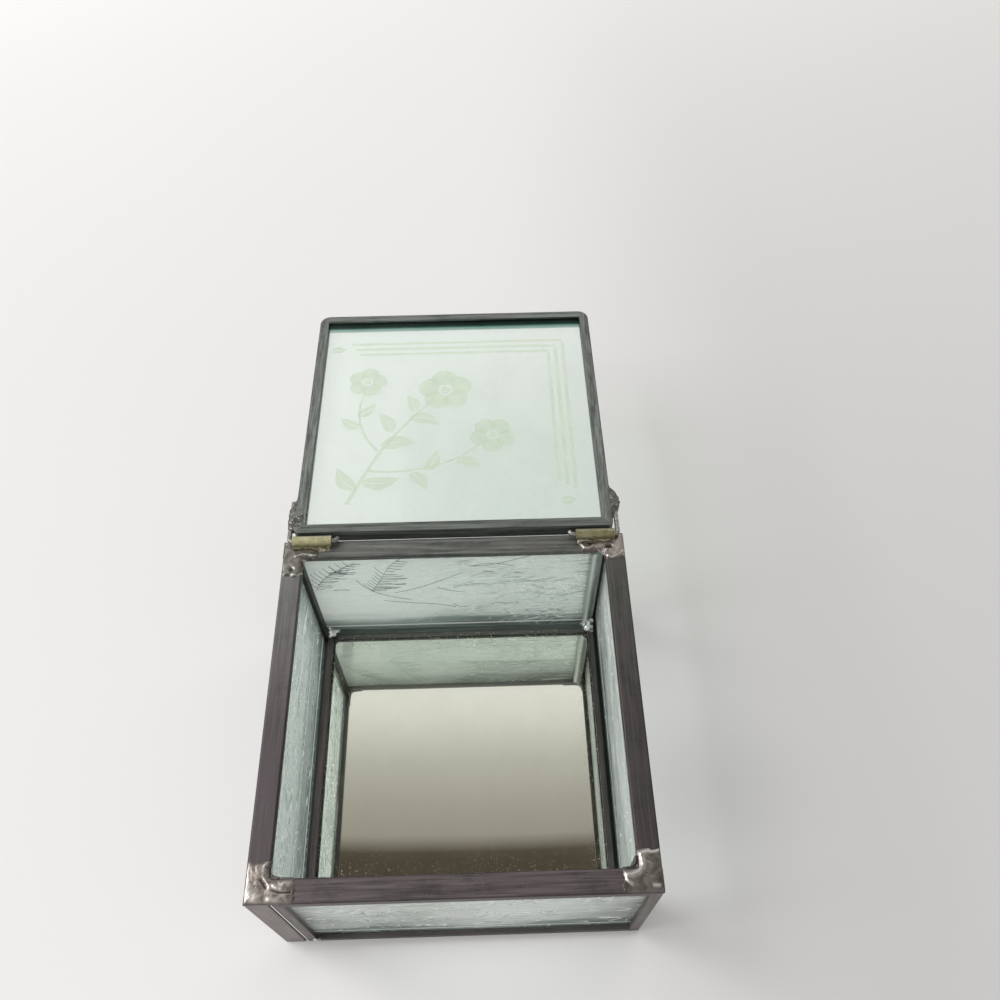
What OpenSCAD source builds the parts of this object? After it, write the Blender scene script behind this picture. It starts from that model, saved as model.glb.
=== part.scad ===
// Casket box of textured glass panels in soldered metal channel, with a mirror floor
// and a clear glass lid that swings on two wire and tube hinges.
// The lid stands wide open. X runs across the box, Y to the hinge side, Z up.
// The middle of the base, where the box rests, is the zero point. Sizes in mm.

/* [Box] */
// Width across the box, outside
box_w = 101.6; // [90:0.1:130]
// Depth from the front to the hinge side, outside
box_d = 101.6; // [90:0.1:130]
// Height of the walls
box_h = 53.4; // [42:0.1:80]

/* [Channel round the wall glass] */
// Width of the channel, the thickness of a wall
came_w = 6; // [5.6:0.1:7]
// Height of the channel legs that hold the glass
came_leg = 3.2; // [2.6:0.1:4]
// Height of the inner leg of the rim channel, which stands lower than the outer one
rim_leg = 1.7; // [1.6:0.1:2.4]
// Thickness of the channel back
came_back = 1; // [0.8:0.1:1.3]
// Thickness of each channel leg
came_side = 1.2; // [1:0.05:1.3]
// Rounding of the two long outer edges of the channel
came_round = 0.6; // [0.4:0.1:0.9]
// Groove left where one wall meets the next
wall_seam = 0.2; // [0.1:0.05:0.3]

/* [Glass] */
// Thickness of the textured wall glass
wall_glass_t = 3; // [2.6:0.1:3.2]
// Thickness of the clear lid glass
lid_glass_t = 3; // [2.6:0.1:3.2]
// Thickness of the floor mirror
mirror_t = 3; // [2.6:0.1:3.2]
// Room left between a glass edge and its channel
glass_room = 0.3; // [0.2:0.05:0.4]

/* [Mirror floor] */
// Height of the low channel round the mirror
floor_came_h = 5.5; // [5:0.1:6]
// Width of the lip that covers the mirror edge
floor_came_leg = 1.7; // [1.5:0.1:2.4]
// Thickness of the low channel
floor_came_t = 0.9; // [0.8:0.05:1]
// Room between the floor frame and the walls
floor_room = 0.1; // [0.05:0.05:0.3]

/* [Lid] */
// Distance of the closed lid from the front face of the box
lid_front_inset = 2.6; // [2.4:0.1:6]
// Thickness of the lid channel
lid_came_h = 4.8; // [4.6:0.1:5.4]
// Width of the channel lip over the lid glass
lid_came_leg = 3.1; // [2.6:0.1:3.4]
// Thickness of the lid channel lips
lid_came_side = 0.7; // [0.6:0.05:0.8]
// Radius of the two rounded front corners of the lid
lid_corner_r = 3.6; // [3.5:0.1:5]
// Radius of the two filed corners of the lid at the hinges
lid_back_r = 2; // [1:0.1:2.2]
// Height of the closed lid over the rim
lid_gap = 0.7; // [0.65:0.05:1]
// How far the lid stands open
lid_open = 183.5; // [175:0.5:184]

/* [Hinges] */
// Outer diameter of the hinge tubes
tube_d = 3.2; // [3:0.1:3.4]
// Length of each hinge tube
tube_len = 11.6; // [8:0.1:16]
// Distance from the side of the box to a tube
tube_inset = 2.8; // [2.7:0.1:3.2]
// Distance of the hinge line in front of the back face
hinge_inset = 1.1; // [0.8:0.1:1.3]
// Diameter of the hinge wire
wire_d = 1.4; // [1.3:0.05:1.5]
// Radial room for the wire to turn in the tube
wire_room = 0.05; // [0.02:0.01:0.08]
// Room between the end of a tube and the turn of its wire
side_play = 0.1; // [0.05:0.05:0.2]
// Distance from the hinge line to the lid
hinge_to_lid = 2.3; // [2.1:0.1:2.6]
// Gap between the wire arm and the side of the lid
arm_gap = 0.35; // [0.3:0.05:0.5]
// Length of the wire arm along the side of the lid
arm_len = 14.5; // [10:0.5:18]

/* [Solder] */
// Thickness of the solder over the rim corners
puddle_t = 0.35; // [0.2:0.05:0.35]
// Reach of the corner solder along each rim
puddle_reach = 11; // [8:0.5:14]
// Thickness of the solder film under the tubes
film_t = 0.15; // [0.1:0.05:0.2]
// Radius of the hollow curve of solder in the inner corner of the rim
puddle_fillet = 2.4; // [1.5:0.1:3]
// Spread of the tube solder in front of each tube
tube_solder_toe = 1.8; // [1.2:0.1:2.2]
// Height of the tube solder up the side of each tube
tube_solder_h = 1; // [0.7:0.1:1.2]
// Radius of the solder beads in the floor corners
bead_r = 1.9; // [1.5:0.1:2.2]
// Radius of the solder dots at the foot of the outer corners
dot_r = 1.2; // [1:0.1:1.5]
// Height of those dots over the channel
dot_rise = 0.4; // [0.2:0.05:0.5]
// Radius of the solder lumps along each wire arm
lump_r = 1.45; // [1.4:0.01:1.5]
// Most that one lump stands from the next
lump_pitch = 1.6; // [1.4:0.05:1.65]
// Distance of the lumps from the middle of the wire towards the lid
lump_in = 0.25; // [0.15:0.05:0.3]
// Distance from the hinge line to the first lump
lump_start = 3.7; // [3.5:0.1:4.5]

/* [Hidden] */
$fn = 48;

half_w = box_w / 2;
half_d = box_d / 2;
front_len = box_w - came_w - wall_seam;
side_len = box_d - came_w - wall_seam;
inner_w = half_w - came_w;
inner_d = half_d - came_w;
glass_edge = came_back + glass_room;
hinge_y = half_d - hinge_inset;
hinge_z = box_h + film_t + tube_d / 2;
lid_low = box_h + lid_gap - hinge_z;
tube_out = half_w - tube_inset;
tube_in = tube_out - tube_len;
wire_r = wire_d / 2;
bore_r = wire_r + wire_room;
bend_r = wire_r + 0.25;
arm_x = tube_out + side_play + bend_r;
lid_w = 2 * (arm_x - wire_r - arm_gap);
lid_d = box_d - hinge_inset - hinge_to_lid - lid_front_inset;
wire_end = 0.3;
hook_r = 1.6;
hook_angle = 48;
hook_len = 0.6;
solder_inset = 0.3;
lid_mid = lid_low + lid_came_h / 2;
lid_round = 0.5;
lid_front_y = -hinge_to_lid - lid_d;

metal = [0.42, 0.41, 0.40];
solder = [0.66, 0.64, 0.61];
brass = [0.62, 0.57, 0.36];
tint = [0.68, 0.80, 0.75, 0.55];
clear = [0.86, 0.93, 0.90, 0.40];
silver = [0.86, 0.87, 0.85];

// Section of a channel: its back lies on the line z = 0 and its legs stand up.
module channel_section(w, leg, back, side, round_r) {
    difference() {
        union() {
            translate([-w / 2, round_r]) square([w, leg - round_r]);
            translate([-w / 2 + round_r, 0]) square([w - 2 * round_r, leg]);
            for (s = [-1, 1]) translate([s * (w / 2 - round_r), round_r]) circle(round_r);
        }
        translate([-w / 2 + side, back]) square([w - 2 * side, leg]);
    }
}

// A straight strip of channel along X with both ends cut at 45 degrees.
module strip(len, w, leg, back, side, round_r) {
    intersection() {
        translate([-len / 2, 0, 0]) rotate([90, 0, 90])
            linear_extrude(len) channel_section(w, leg, back, side, round_r);
        translate([0, w, 0]) rotate([90, 0, 0]) linear_extrude(2 * w)
            polygon([[-len / 2, 0], [len / 2, 0], [len / 2 - leg, leg], [-len / 2 + leg, leg]]);
    }
}

module wall_strip(len) {
    color(metal) strip(len, came_w, came_leg, came_back, came_side, came_round);
}

// The four strips round one wall. The wall stands on X and is centred there.
module top_strip(len) {
    translate([0, 0, box_h]) mirror([0, 0, 1]) difference() {
        wall_strip(len);
        translate([-len / 2, came_w / 2 - 1.5 * came_side, rim_leg])
            cube([len, 2 * came_side, came_leg]);
    }
}
module bottom_strip(len) { wall_strip(len); }
module end_strip(len) {
    translate([-len / 2, 0, box_h / 2]) rotate([0, 90, 0]) wall_strip(box_h);
}
module far_strip(len) { mirror([1, 0, 0]) end_strip(len); }

module pane(len) {
    color(tint) translate([-len / 2 + glass_edge, -wall_glass_t / 2, glass_edge])
        cube([len - 2 * glass_edge, wall_glass_t, box_h - 2 * glass_edge]);
}

// Each wall runs past one neighbour and stops against the other.
module at_front() { translate([(came_w + wall_seam) / 2, -half_d + came_w / 2, 0]) children(); }
module at_right() {
    translate([half_w - came_w / 2, (came_w + wall_seam) / 2, 0]) rotate([0, 0, 90]) children();
}
module at_back() {
    translate([-(came_w + wall_seam) / 2, half_d - came_w / 2, 0]) rotate([0, 0, 180]) children();
}
module at_left() {
    translate([-half_w + came_w / 2, -(came_w + wall_seam) / 2, 0]) rotate([0, 0, 270]) children();
}

module front_glass() { at_front() pane(front_len); }
module back_glass() { at_back() pane(front_len); }
module left_glass() { at_left() pane(side_len); }
module right_glass() { at_right() pane(side_len); }

module front_top_came() { at_front() top_strip(front_len); }
module front_bottom_came() { at_front() bottom_strip(front_len); }
module front_left_came() { at_front() end_strip(front_len); }
module front_right_came() { at_front() far_strip(front_len); }
module back_top_came() { at_back() top_strip(front_len); }
module back_bottom_came() { at_back() bottom_strip(front_len); }
module back_left_came() { at_back() far_strip(front_len); }
module back_right_came() { at_back() end_strip(front_len); }
module left_top_came() { at_left() top_strip(side_len); }
module left_bottom_came() { at_left() bottom_strip(side_len); }
module left_front_came() { at_left() far_strip(side_len); }
module left_back_came() { at_left() end_strip(side_len); }
module right_top_came() { at_right() top_strip(side_len); }
module right_bottom_came() { at_right() bottom_strip(side_len); }
module right_front_came() { at_right() end_strip(side_len); }
module right_back_came() { at_right() far_strip(side_len); }

// Floor: a mirror in one low channel bent round it, which lies flat between the walls.
module floor_block(inset, low, high) {
    w = 2 * (inner_w - floor_room - inset);
    d = 2 * (inner_d - floor_room - inset);
    translate([-w / 2, -d / 2, low]) cube([w, d, high - low]);
}
module floor_came() {
    color(metal) difference() {
        floor_block(0, 0, floor_came_h);
        floor_block(floor_came_leg, -1, floor_came_h + 1);
        floor_block(floor_came_t, floor_came_t, floor_came_h - floor_came_t);
    }
}
module floor_mirror() {
    low = (floor_came_h - mirror_t) / 2;
    color(silver) floor_block(floor_came_t + glass_room, low, low + mirror_t);
}

// Solder run over a rim corner, seen from above. The corner is at zero.
module puddle_plan(reach_x, reach_y) {
    w = came_w - 2 * solder_inset;
    r = w / 2;
    translate([solder_inset, solder_inset]) {
        translate([r, r]) circle(r);
        translate([0, r]) square([w, reach_y - w]);
        translate([r, 0]) square([reach_x - w, w]);
        translate([r, reach_y - r]) circle(r);
        translate([reach_x - r, r]) circle(r);
        difference() {
            translate([w, w]) square(puddle_fillet);
            translate([w + puddle_fillet, w + puddle_fillet]) circle(puddle_fillet);
        }
    }
}
module puddle(reach_x, reach_y) {
    color(solder) translate([-half_w, -half_d, box_h])
        linear_extrude(puddle_t) puddle_plan(reach_x, reach_y);
}
// At the back the solder stops beside and in front of the hinge tube.
module back_puddle(reach_x, reach_y) {
    clear_x = tube_inset + solder_inset;
    clear_y = came_w + solder_inset;
    difference() {
        mirror([0, 1, 0]) puddle(reach_x, reach_y);
        translate([-half_w + clear_x - solder_inset, half_d - clear_y, box_h - 1])
            cube([reach_x, clear_y + 1, 3]);
    }
}
module front_left_solder() { puddle(puddle_reach + 1, puddle_reach); }
module front_right_solder() { mirror([1, 0, 0]) puddle(puddle_reach - 1.5, puddle_reach); }
module back_left_solder() { back_puddle(puddle_reach, puddle_reach); }
module back_right_solder() { mirror([1, 0, 0]) back_puddle(puddle_reach, puddle_reach - 2); }

// Beads that tie the floor frame to the walls, one in each corner.
module floor_solder() {
    sink = bead_r / 2;
    color(solder) intersection() {
        for (sx = [-1, 1], sy = [-1, 1])
            translate([sx * (inner_w - sink), sy * (inner_d - sink), floor_came_h - sink / 2])
                sphere(bead_r);
        translate([-inner_w, -inner_d, floor_came_h]) cube([2 * inner_w, 2 * inner_d, box_h]);
    }
}

// Small dots on the outside, one on the lower left joint of each wall.
module foot_dot(len) {
    translate([-len / 2 + came_leg, -came_w / 2, came_leg - dot_r / 2]) rotate([90, 0, 0])
        rotate_extrude() intersection() {
            union() {
                translate([dot_r - dot_rise, 0]) circle(dot_rise);
                square([dot_r - dot_rise, dot_rise]);
            }
            square([dot_r, dot_rise]);
        }
}
module foot_solder() {
    color(solder) {
        at_front() foot_dot(front_len);
        at_right() foot_dot(side_len);
        at_back() foot_dot(front_len);
        at_left() foot_dot(side_len);
    }
}

// Everything at the hinge line. The lid parts are drawn shut and then swung open.
module at_hinge() { translate([0, hinge_y, hinge_z]) children(); }
module on_lid() { at_hinge() rotate([-lid_open, 0, 0]) children(); }

module tube() {
    color(brass) at_hinge() translate([-tube_out, 0, 0]) rotate([0, 90, 0]) difference() {
        cylinder(d = tube_d, h = tube_len);
        translate([0, 0, -1]) cylinder(r = bore_r, h = tube_len + 2);
    }
}
module left_tube() { tube(); }
module right_tube() { mirror([1, 0, 0]) tube(); }

// Solder that fills the corner between a tube and the back rail.
module tube_fillet() {
    r = tube_d / 2;
    base = -film_t - r;
    top = base + tube_solder_h;
    toe = -r - tube_solder_toe;
    heel = hinge_inset - film_t;
    color(solder) at_hinge() translate([-tube_out, 0, 0]) rotate([90, 0, 90])
        linear_extrude(tube_len - 2 * solder_inset) difference() {
            polygon([[toe, base], [toe / 2 - r / 2, base + film_t + 0.05],
                [-r - film_t, base + film_t + 0.2], [-r + film_t, top], [heel, top], [heel, base]]);
            circle(r);
        }
}
module left_tube_solder() { tube_fillet(); }
module right_tube_solder() { mirror([1, 0, 0]) tube_fillet(); }

module lid_section() {
    rotate(-90) channel_section(lid_came_h, lid_came_leg, came_back, lid_came_side, lid_round);
}
// Plan of the lid channel at the hinge side, where its outer corners are filed round.
module lid_filed() {
    side = lid_w / 2;
    translate([0, 0, lid_low - 1]) linear_extrude(lid_came_h + 2) {
        translate([-side - 1, lid_front_y - 1])
            square([lid_w + 2, lid_d + 1 - lid_back_r]);
        translate([-side + lid_back_r, lid_front_y]) square([lid_w - 2 * lid_back_r, lid_d]);
        for (s = [-1, 1])
            translate([s * (side - lid_back_r), -hinge_to_lid - lid_back_r]) circle(lid_back_r);
    }
}
// One strip bent round the two sides and the rounded front of the lid.
module lid_came() {
    reach = lid_came_leg + 1;
    side = lid_w / 2;
    color(metal) on_lid() intersection() {
        translate([0, 0, lid_mid]) {
            for (s = [0, 1]) mirror([s, 0, 0]) {
                translate([-side, -hinge_to_lid, 0]) rotate([90, 0, 0])
                    linear_extrude(lid_d - lid_corner_r) lid_section();
                translate([-side + lid_corner_r, lid_front_y + lid_corner_r, 0])
                    rotate([0, 0, 180]) rotate_extrude(angle = 90)
                        translate([lid_corner_r, 0]) rotate(180) lid_section();
            }
            translate([-side + lid_corner_r, lid_front_y, 0]) rotate([90, 0, 90])
                linear_extrude(lid_w - 2 * lid_corner_r) lid_section();
        }
        translate([0, 0, lid_low - 1]) linear_extrude(lid_came_h + 2)
            polygon([[-side - 1, 1 - hinge_to_lid], [-side + reach, -hinge_to_lid - reach],
                [side - reach, -hinge_to_lid - reach], [side + 1, 1 - hinge_to_lid],
                [side + 1, lid_front_y - 1], [-side - 1, lid_front_y - 1]]);
        lid_filed();
    }
}
module lid_back_came() {
    color(metal) on_lid() intersection() {
        translate([0, -hinge_to_lid, lid_mid]) rotate([90, 0, 0])
            strip(lid_w, lid_came_h, lid_came_leg, came_back, lid_came_side, lid_round);
        lid_filed();
    }
}
module lid_glass() {
    w = lid_w - 2 * glass_edge;
    d = lid_d - 2 * glass_edge;
    r = lid_corner_r - glass_edge;
    color(clear) on_lid()
        translate([-w / 2, lid_front_y + glass_edge, lid_mid - lid_glass_t / 2])
            linear_extrude(lid_glass_t) {
                translate([0, r]) square([w, d - r]);
                translate([r, 0]) square([w - 2 * r, d]);
                for (x = [r, w - r]) translate([x, r]) circle(r);
            }
}

// Hinge wire: a hook at the inner end, a turn at the outer end and an arm along the lid.
module wire() {
    hook_x = -tube_in + wire_end;
    color(metal) on_lid() {
        translate([-tube_out - side_play, 0, 0]) rotate([0, 90, 0])
            cylinder(r = wire_r, h = tube_len + side_play + wire_end);
        translate([-tube_out - side_play, -bend_r, 0]) rotate([0, 0, 90])
            rotate_extrude(angle = 90) translate([bend_r, 0]) circle(wire_r);
        translate([-arm_x, -bend_r, 0]) rotate([90, 0, 0])
            cylinder(r = wire_r, h = arm_len - bend_r);
        translate([hook_x, -hook_r, 0]) mirror([1, 0, 0]) rotate([0, 0, 90]) {
            rotate_extrude(angle = hook_angle) translate([hook_r, 0]) circle(wire_r);
            rotate([0, 0, hook_angle]) translate([hook_r, 0, 0]) rotate([-90, 0, 0])
                cylinder(r = wire_r, h = hook_len);
        }
    }
}
module left_wire() { wire(); }
module right_wire() { mirror([1, 0, 0]) wire(); }

// Lumpy solder that holds the wire arm to the side of the lid.
module arm_lumps(shift, swell) {
    run = arm_len - lump_start;
    last = ceil(run / lump_pitch);
    far = 2 * arm_len;
    color(solder) on_lid() difference() {
        intersection() {
            for (i = [0:last])
                translate([lump_in - arm_x, -lump_start - run * i / last, swell * (1 + cos(140 * i))])
                    sphere(lump_r + swell * sin(shift + 97 * i));
            translate([-lid_w / 2 - far, -far, lid_low]) cube([far, far, far]);
        }
        translate([-arm_x, 0, 0]) rotate([90, 0, 0]) cylinder(r = wire_r, h = arm_len);
    }
}
module left_arm_solder() { arm_lumps(0, 0.07); }
module right_arm_solder() { mirror([1, 0, 0]) arm_lumps(60, 0.08); }

front_glass();
back_glass();
left_glass();
right_glass();
front_top_came();
front_bottom_came();
front_left_came();
front_right_came();
back_top_came();
back_bottom_came();
back_left_came();
back_right_came();
left_top_came();
left_bottom_came();
left_front_came();
left_back_came();
right_top_came();
right_bottom_came();
right_front_came();
right_back_came();
floor_mirror();
floor_came();
front_left_solder();
front_right_solder();
back_left_solder();
back_right_solder();
floor_solder();
foot_solder();
left_tube();
right_tube();
left_tube_solder();
right_tube_solder();
lid_glass();
lid_came();
lid_back_came();
left_wire();
right_wire();
left_arm_solder();
right_arm_solder();
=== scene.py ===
import math
import random

import bpy
import bmesh
import numpy as np
from mathutils import Matrix, Vector, noise


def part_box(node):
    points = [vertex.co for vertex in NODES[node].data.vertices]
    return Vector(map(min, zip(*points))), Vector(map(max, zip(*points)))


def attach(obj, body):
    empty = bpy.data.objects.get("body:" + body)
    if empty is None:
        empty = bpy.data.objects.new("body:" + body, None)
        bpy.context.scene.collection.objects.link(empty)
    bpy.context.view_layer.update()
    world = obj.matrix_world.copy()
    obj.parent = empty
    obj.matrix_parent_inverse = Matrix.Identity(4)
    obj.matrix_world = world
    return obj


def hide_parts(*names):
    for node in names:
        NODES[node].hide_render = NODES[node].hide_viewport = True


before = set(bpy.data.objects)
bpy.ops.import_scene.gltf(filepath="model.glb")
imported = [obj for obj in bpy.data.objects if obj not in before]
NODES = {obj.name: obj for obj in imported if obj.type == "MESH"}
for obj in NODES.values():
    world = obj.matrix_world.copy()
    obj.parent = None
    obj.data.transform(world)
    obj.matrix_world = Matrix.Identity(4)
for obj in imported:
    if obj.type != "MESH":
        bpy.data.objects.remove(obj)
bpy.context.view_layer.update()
MM = 0.001
GLASS_IOR = 1.5


# Materials

class Mat:
    """A short way to build the nodes of a material, or of the world."""

    def __init__(self, name, owners=bpy.data.materials):
        self.owner = owners.new(name)
        self.owner.use_nodes = True
        self.tree = self.owner.node_tree
        self.tree.nodes.clear()

    def node(self, kind, ins=(), out=0, **props):
        n = self.tree.nodes.new("ShaderNode" + kind)
        for k, v in props.items():
            setattr(n, k, v)
        for k, v in dict(ins).items():
            if isinstance(v, bpy.types.NodeSocket):
                self.tree.links.new(v, n.inputs[k])
            else:
                n.inputs[k].default_value = v
        return n.outputs[out] if out is not None else n

    def math(self, op, a, b=0.0, clamp=False, c=0.5):
        return self.node("Math", {0: a, 1: b, 2: c}, operation=op, use_clamp=clamp)

    def plus(self, a, b, clamp=False):
        return self.math("ADD", a, b, clamp)

    def minus(self, a, b, clamp=False):
        return self.math("SUBTRACT", a, b, clamp)

    def times(self, a, b, clamp=False):
        return self.math("MULTIPLY", a, b, clamp)

    def line(self, x, slope, start, clamp=False):
        """slope * x + start"""
        return self.math("MULTIPLY_ADD", x, slope, clamp, start)

    def larger(self, a, b, clamp=False):
        return self.math("MAXIMUM", a, b, clamp)

    def absolute(self, a):
        return self.math("ABSOLUTE", a)

    def mix(self, fac, a, b):
        ends = [c if isinstance(c, bpy.types.NodeSocket) else (*c[:3], 1) for c in (a, b)]
        return self.node("Mix", {0: fac, 6: ends[0], 7: ends[1]}, out=2, data_type="RGBA")

    def multiply(self, fac, a, b):
        """Colour a, multiplied by b where fac is 1."""
        return self.node("Mix", {0: fac, 6: a, 7: b}, out=2, data_type="RGBA", blend_type="MULTIPLY")

    def ramp(self, fac, *stops):
        n = self.node("ValToRGB", {0: fac}, out=None)
        r = n.color_ramp
        while len(r.elements) < len(stops):
            r.elements.new(0.5)
        for e, (pos, v) in zip(r.elements, stops):
            e.position = pos
            e.color = (v, v, v, 1) if isinstance(v, (int, float)) else (*v, 1)
        return n.outputs[0]

    def split(self, vec):
        """The x, y and z of a vector."""
        return self.node("SeparateXYZ", {0: vec}, out=None).outputs

    def here(self):
        """The x, y and z of object coordinates, in metres."""
        return self.split(self.node("TexCoord", out=3))

    def facing(self):
        """The x, y and z of the way the surface faces."""
        return self.split(self.node("NewGeometry", out=1))

    def field(self, name):
        """A number painted on the points of the mesh."""
        return self.node("Attribute", out=2, attribute_name=name)

    def coords(self, scale, shift=(0, 0, 0)):
        """Object coordinates in millimetres, scaled along each axis."""
        return self.node("Mapping", {"Vector": self.node("TexCoord", out=3), "Location": shift,
                                     "Scale": [s / MM for s in scale]})

    def noise(self, vec, detail, rough, warp=0.0, out=0):
        return self.node("TexNoise", {"Vector": vec, "Scale": 1.0, "Detail": detail,
                                      "Roughness": rough, "Distortion": warp}, out=out)

    def grain(self, scale, detail, rough, warp=0.0):
        """Noise over the object; scale is one number, or one for each axis."""
        scale = scale if isinstance(scale, (tuple, list)) else (scale,) * 3
        return self.noise(self.coords(scale), detail, rough, warp)

    def bump(self, height, strength, distance):
        return self.node("Bump", {"Height": height, "Strength": strength, "Distance": distance})

    def bsdf(self, kind, colour, **more):
        return self.node("Bsdf" + kind, {"Color": colour, **more})

    def blend(self, fac, a, b):
        return self.node("MixShader", {0: fac, 1: a, 2: b})

    def finish(self, shader, output="OutputMaterial"):
        self.node(output, {0: shader}, out=None)
        return self.owner

    def finish_metal(self, tint, metallic, rough, normal):
        return self.finish(self.node("BsdfPrincipled", {"Base Color": tint, "Metallic": metallic,
                                                        "Roughness": rough, "Normal": normal}))


def rgb(r, g, b):
    """A colour given as it shows on screen, from 0 to 255."""
    def lin(c):
        c /= 255
        return c / 12.92 if c <= 0.04045 else ((c + 0.055) / 1.055) ** 2.4

    return (lin(r), lin(g), lin(b), 1.0)


def shade(tone, k):
    """A tone made lighter or darker."""
    return [c * k for c in tone]


def channel_metal(name, along, tone, edge_shade=0.45, brush=1.0, middle=0.0, far_tone=None, right_tone=None,
                  back_tone=None, glint=None):
    """Lead channel with a dark patina, faintly brushed lengthwise and mottled.

    A bent channel is brushed along each of its sides, which meet on the diagonals from the middle.
    The far, right and back tones are painted light and shade for those stretches, and a glint, a painted
    highlight, is an x and a width in mm. The edge shade is painted shade on the rounded edges.
    """
    m = Mat(name)
    here = m.here()

    def brushed(axis):
        """Fine and wide streaks, drawn out along an axis."""
        fine = [1.3, 1.3, 1.3]
        fine[axis] = 0.04
        wide = [0.5, 0.5, 0.5]
        wide[axis] = 0.03
        return m.grain(fine, 5.0, 0.7), m.grain(wide, 3.0, 0.55)

    def toned(tint, mask, other):
        """The same grain in another tone where the mask is 1."""
        return m.multiply(mask, tint, (*(b / a for a, b in zip(tone, other)), 1))

    if along == "bent":
        side = m.math("GREATER_THAN", m.absolute(here[0]), m.absolute(m.minus(here[1], middle)))
        fine_y, wide_y = brushed(1)
        fine_x, wide_x = brushed(0)
        fine = m.mix(side, fine_x, fine_y)
        wide = m.mix(side, wide_x, wide_y)
    else:
        fine, wide = brushed("XYZ".index(along))
    cloud = m.grain(0.16, 5.0, 0.62)
    fleck = m.grain(1.5, 3.0, 0.6)
    streak = min(0.95, 0.42 * brush)
    low, high = shade(tone, 1 - 0.16 * brush), shade(tone, 1 + 0.18 * brush)
    tint = m.ramp(wide, (0.3, low), (0.5, tone), (0.72, high))
    tint = m.mix(m.ramp(fine, (0.49, 0.0), (0.60, streak)), tint, shade(tone, 1.8))
    tint = m.mix(m.ramp(fine, (0.40, streak), (0.50, 0.0)), tint, shade(tone, 0.5))
    warm = tone[0] * 1.26, tone[1] * 1.10, tone[2] * 1.15
    tint = m.mix(m.ramp(cloud, (0.40, 0.0), (0.64, 0.6)), tint, warm)
    tint = m.mix(m.ramp(cloud, (0.30, 0.45), (0.46, 0.0)), tint, shade(tone, 0.68))
    tint = m.mix(m.ramp(fleck, (0.64, 0.0), (0.72, 0.5)), tint, shade(tone, 2.2))
    # Painted light and shade: the far, right and back stretches take their own tones.
    if far_tone is not None:
        tint = toned(tint, m.line(here[1], 22.0, 0.12, True), far_tone)
    if right_tone is not None:
        tint = toned(tint, m.times(side, m.times(here[0], 400.0, True)), right_tone)
    if back_tone is not None:
        tint = toned(tint, m.times(m.minus(1.0, side), m.times(here[1], 400.0, True)), back_tone)
    # Painted shade: rounded edges, facing neither straight up nor straight out, turn darker by the edge
    # shade.
    up = m.absolute(m.facing()[2])
    edge = m.times(m.ramp(up, (0.30, 0.0), (0.5, 1.0)), m.ramp(up, (0.80, 1.0), (0.96, 0.0)))
    tint = m.mix(m.times(edge, edge_shade), tint, shade(tone, 0.2))
    if glint is not None:
        off = m.times(m.absolute(m.minus(here[0], glint[0])), 1 / MM)
        tint = m.mix(m.ramp(off, (0.1, 0.95), (glint[1], 0.0)), tint, (0.90, 0.93, 0.90))
    rough = m.ramp(m.plus(m.times(fine, 0.6), m.times(cloud, 0.5)), (0.35, 0.40), (0.75, 0.62))
    normal = m.bump(m.plus(fine, m.times(fleck, 0.3)), 0.35, 0.00008)
    return m.finish_metal(tint, 0.75, rough, normal)


def solder_metal(name, tone, dark, field=None, other=None, swell=0.9, cracks=0.0):
    """Tin and lead solder: bright where it is thick, dark where the film runs out.

    The field names how the mesh is painted: film, with a painted highlight on its ridges and painted shade
    in its dents, or brass. Other is the tone that the film thins out to, or the brass.
    """
    m = Mat(name)
    big = m.grain(0.34, 2.0, 0.5, 0.8)
    small = m.grain(1.3, 3.0, 0.5, 0.5)
    tint = m.ramp(big, (0.36, dark), (0.52, tone), (0.68, [min(1, c * 1.3) for c in tone]))
    if field == "film":
        tint = m.mix(m.ramp(m.field("film"), (0.25, 1.0), (0.95, 0.0)), tint, other)
        # Painted highlight on the ridges, painted shade in the dents.
        tint = m.mix(m.ramp(m.field("ridge"), (0.15, 0.0), (0.9, 0.8)), tint, (0.56, 0.535, 0.51))
        tint = m.mix(m.ramp(m.field("dent"), (0.2, 0.0), (0.8, 0.9)), tint, (0.035, 0.03, 0.028))
    if field == "brass":
        tint = m.mix(m.ramp(m.field("brass"), (0.15, 0.0), (0.9, 0.85)), tint, other)
    tint = m.mix(m.ramp(m.grain(3.6, 2.0, 0.6), (0.62, 0.0), (0.72, 0.25)), tint, shade(dark, 0.5))
    if cracks:
        seam = m.absolute(m.minus(m.grain((0.75, 0.42, 0.75), 2.0, 0.6, 1.2), 0.5))
        tint = m.mix(m.ramp(seam, (0.0, cracks), (0.035, 0.0)), tint, (0.012, 0.012, 0.011))
    rough = m.ramp(small, (0.35, 0.22), (0.7, 0.40))
    normal = m.bump(m.plus(big, m.times(small, 0.10)), swell, 0.0009)
    return m.finish_metal(tint, 0.92, rough, normal)


def tube_metal(name, light):
    """Dull brass with an olive film, dark specks, rubbed bright spots and a painted sheen on the side that
    faces back.
    """
    m = Mat(name)
    film = m.grain((0.35, 0.6, 0.6), 4.0, 0.6, 0.4)
    speck = m.grain((3.4, 3.8, 3.8), 3.0, 0.7)
    tones = (0.19, 0.172, 0.080), (0.28, 0.262, 0.142), (0.37, 0.355, 0.235)
    tones = [[c * light + 0.03 * (light - 1) for c in tone] for tone in tones]
    tint = m.ramp(film, *zip((0.3, 0.52, 0.72), tones))
    # Painted sheen: the side that faces back turns greyer and lighter.
    tint = m.mix(m.ramp(m.facing()[1], (0.0, 0.0), (0.5, 0.55)), tint, shade((0.34, 0.335, 0.28), light))
    tint = m.mix(m.ramp(speck, (0.50, 0.0), (0.62, 0.6)), tint, (0.10, 0.088, 0.04))
    tint = m.mix(m.ramp(speck, (0.34, 0.6), (0.44, 0.0)), tint, (0.60, 0.58, 0.42))
    rough = m.ramp(speck, (0.3, 0.30), (0.7, 0.5))
    return m.finish_metal(tint, 0.8, rough, m.bump(speck, 0.3, 0.00008))


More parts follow.
